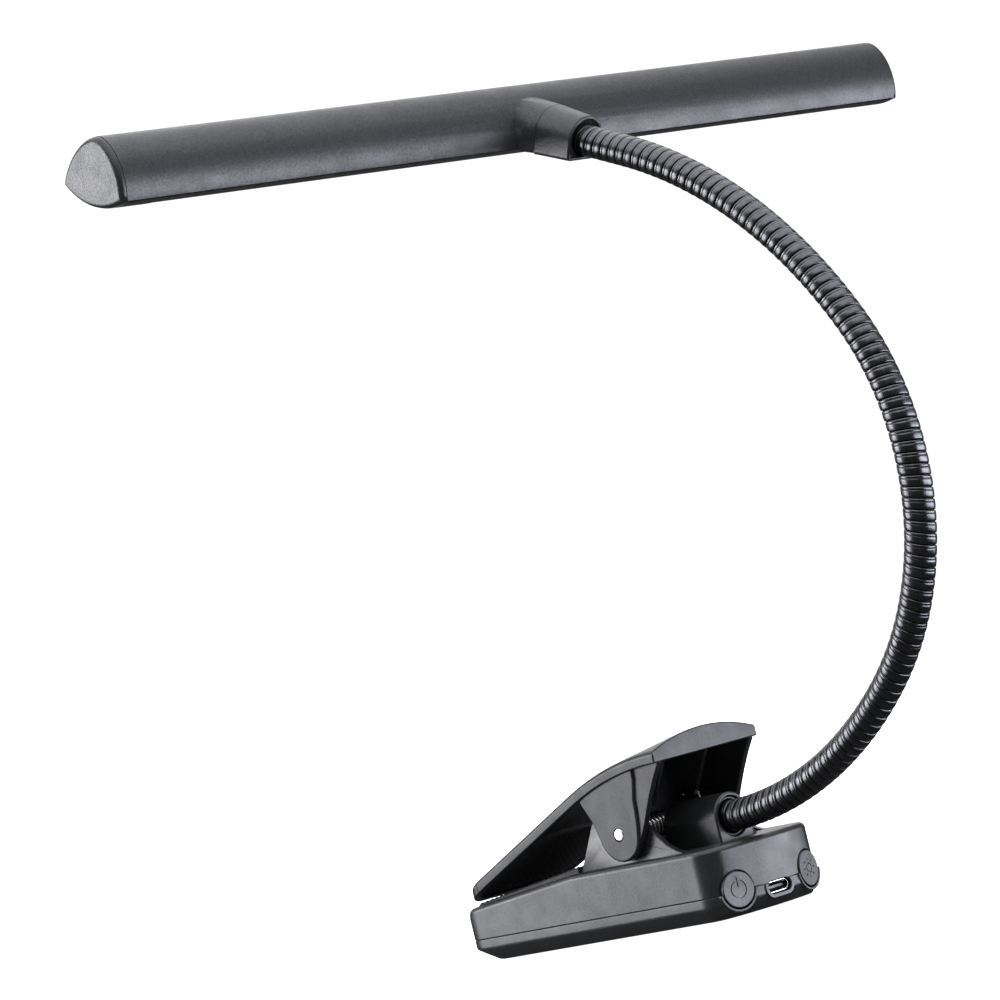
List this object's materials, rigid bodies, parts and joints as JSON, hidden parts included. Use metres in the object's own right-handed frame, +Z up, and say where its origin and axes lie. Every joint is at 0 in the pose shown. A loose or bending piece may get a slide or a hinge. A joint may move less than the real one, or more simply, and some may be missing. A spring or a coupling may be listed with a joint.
{
  "type": "music stand light",
  "caption": "Clip-on stand light: sprung jaw clamp with battery, push buttons and charging socket, ribbed gooseneck, long arched light bar.",
  "frame": {"origin": "centre of the clamp's flat underside", "axes": "+Z up from the underside, +Y from the jaw tip towards the buttons, +X along the light bar, to the right of someone who faces the jaw tip's far side"},
  "size_m": [0.319, 0.2031, 0.2481],
  "materials": {
    "shell": "fine satin",
    "lever": "fine satin",
    "pad_rubber": "matt",
    "pin_steel": "polished",
    "spring_steel": "drawn",
    "hose_steel": "gloss black",
    "inner_steel": "plain",
    "button": "satin",
    "cell": "foil",
    "foam": "matt",
    "board": "solder mask",
    "socket_shell": "bright",
    "socket_tongue": "matt",
    "switch": "matt",
    "screw_steel": "plain",
    "wire": "matt",
    "head": "satin",
    "lens": "frosted",
    "led_board": "white solder mask",
    "led": "phosphor"
  },
  "bodies": {
    "clamp_base": {"base_top_shell": "shell", "base_bottom_shell": "shell", "lower_jaw_pad": "pad_rubber", "pivot_pin": "pin_steel", "clamp_spring_right": "spring_steel", "clamp_spring_left": "spring_steel", "battery_cell": "cell", "battery_foam": "foam", "main_board": "board", "charging_socket": "socket_shell", "socket_tongue": "socket_tongue", "button_switches": "switch", "board_screws": "screw_steel", "base_screws": "screw_steel", "neck_lower_ferrule": "screw_steel", "neck_lower_screw": "screw_steel", "base_wire": "wire", "neck_sleeve_0": "hose_steel", "neck_core_0": "inner_steel"},
    "lever": {"lever_cover": "lever", "upper_jaw_pad": "pad_rubber"},
    "power_button": {"power_button": "button"},
    "mode_button": {"mode_button": "button"},
    "neck_link_1": {"neck_sleeve_1": "hose_steel", "neck_core_1": "inner_steel"},
    "neck_link_2": {"neck_sleeve_2": "hose_steel", "neck_core_2": "inner_steel"},
    "neck_link_3": {"neck_sleeve_3": "hose_steel", "neck_core_3": "inner_steel"},
    "neck_link_4": {"neck_sleeve_4": "hose_steel", "neck_core_4": "inner_steel"},
    "neck_link_5": {"neck_sleeve_5": "hose_steel", "neck_core_5": "inner_steel"},
    "neck_link_6": {"neck_sleeve_6": "hose_steel", "neck_core_6": "inner_steel"},
    "neck_link_7": {"neck_sleeve_7": "hose_steel", "neck_core_7": "inner_steel"},
    "neck_link_8": {"neck_sleeve_8": "hose_steel", "neck_core_8": "inner_steel"},
    "neck_link_9": {"neck_sleeve_9": "hose_steel", "neck_core_9": "inner_steel"},
    "light_head": {"neck_sleeve_10": "hose_steel", "neck_core_10": "inner_steel", "neck_upper_ferrule": "screw_steel", "neck_upper_screw": "screw_steel", "hub_collar": "head", "head_shell": "head", "head_lower_cover": "head", "diffuser": "lens", "led_board": "led_board", "led_chips": "led", "led_board_screws": "screw_steel", "end_cap_right": "head", "end_cap_left": "head", "head_wire": "wire"}
  },
  "joints": [
    {"name": "lever_hinge", "type": "hinge", "parent": "clamp_base", "child": "lever", "pos_m": [0, 0.0186, 0.0295], "axis": [-1, 0, 0], "range_deg": [0, 26], "stiffness_Nm_per_rad": 1.2, "springref_deg": -34.38, "deforming": ["clamp_spring_right", "clamp_spring_left"]},
    {"name": "power_press", "type": "slide", "parent": "clamp_base", "child": "power_button", "axis": [-0.2381, -0.9712, 0], "range_m": [0, 0.0006], "stiffness_N_per_m": 800, "springref_m": -0.0005},
    {"name": "mode_press", "type": "slide", "parent": "clamp_base", "child": "mode_button", "axis": [0.2381, -0.9712, 0], "range_m": [0, 0.0006], "stiffness_N_per_m": 800, "springref_m": -0.0005},
    {"name": "neck_bend", "type": "hinge", "parent": "clamp_base", "child": "neck_link_1", "pos_m": [0, 0.05997, 0.02886], "axis": [1, 0, 0], "range_deg": [-22, 10]},
    {"name": "neck_bend_2", "type": "hinge", "parent": "neck_link_1", "child": "neck_link_2", "pos_m": [0, 0.08815, 0.03748], "axis": [1, 0, 0], "range_deg": [-22, 10]},
    {"name": "neck_sway", "type": "hinge", "parent": "neck_link_2", "child": "neck_link_3", "pos_m": [0, 0.11306, 0.05324], "axis": [0, -0.6426, 0.7662], "range_deg": [-20, 20]},
    {"name": "neck_bend_4", "type": "hinge", "parent": "neck_link_3", "child": "neck_link_4", "pos_m": [0, 0.13197, 0.07575], "axis": [1, 0, 0], "range_deg": [-22, 10]},
    {"name": "neck_bend_5", "type": "hinge", "parent": "neck_link_4", "child": "neck_link_5", "pos_m": [0, 0.14173, 0.10348], "axis": [1, 0, 0], "range_deg": [-22, 10]},
    {"name": "neck_sway_6", "type": "hinge", "parent": "neck_link_5", "child": "neck_link_6", "pos_m": [0, 0.14107, 0.13288], "axis": [0, -0.9796, -0.2011], "range_deg": [-20, 20]},
    {"name": "neck_bend_7", "type": "hinge", "parent": "neck_link_6", "child": "neck_link_7", "pos_m": [0, 0.13019, 0.1602], "axis": [1, 0, 0], "range_deg": [-22, 10]},
    {"name": "neck_bend_8", "type": "hinge", "parent": "neck_link_7", "child": "neck_link_8", "pos_m": [0, 0.11281, 0.18405], "axis": [1, 0, 0], "range_deg": [-22, 10]},
    {"name": "neck_sway_9", "type": "hinge", "parent": "neck_link_8", "child": "neck_link_9", "pos_m": [0, 0.091, 0.20394], "axis": [0, -0.5958, -0.8031], "range_deg": [-20, 20]},
    {"name": "neck_bend_10", "type": "hinge", "parent": "neck_link_9", "child": "light_head", "pos_m": [0, 0.06565, 0.21904], "axis": [1, 0, 0], "range_deg": [-22, 10]}
  ],
  "couplings": [
    {"joint": "neck_bend_2", "follows": "neck_bend", "ratio": 1},
    {"joint": "neck_bend_4", "follows": "neck_bend", "ratio": 1},
    {"joint": "neck_bend_5", "follows": "neck_bend", "ratio": 1},
    {"joint": "neck_sway_6", "follows": "neck_sway", "ratio": 1},
    {"joint": "neck_bend_7", "follows": "neck_bend", "ratio": 1},
    {"joint": "neck_bend_8", "follows": "neck_bend", "ratio": 1},
    {"joint": "neck_sway_9", "follows": "neck_sway", "ratio": 1},
    {"joint": "neck_bend_10", "follows": "neck_bend", "ratio": 1}
  ]
}
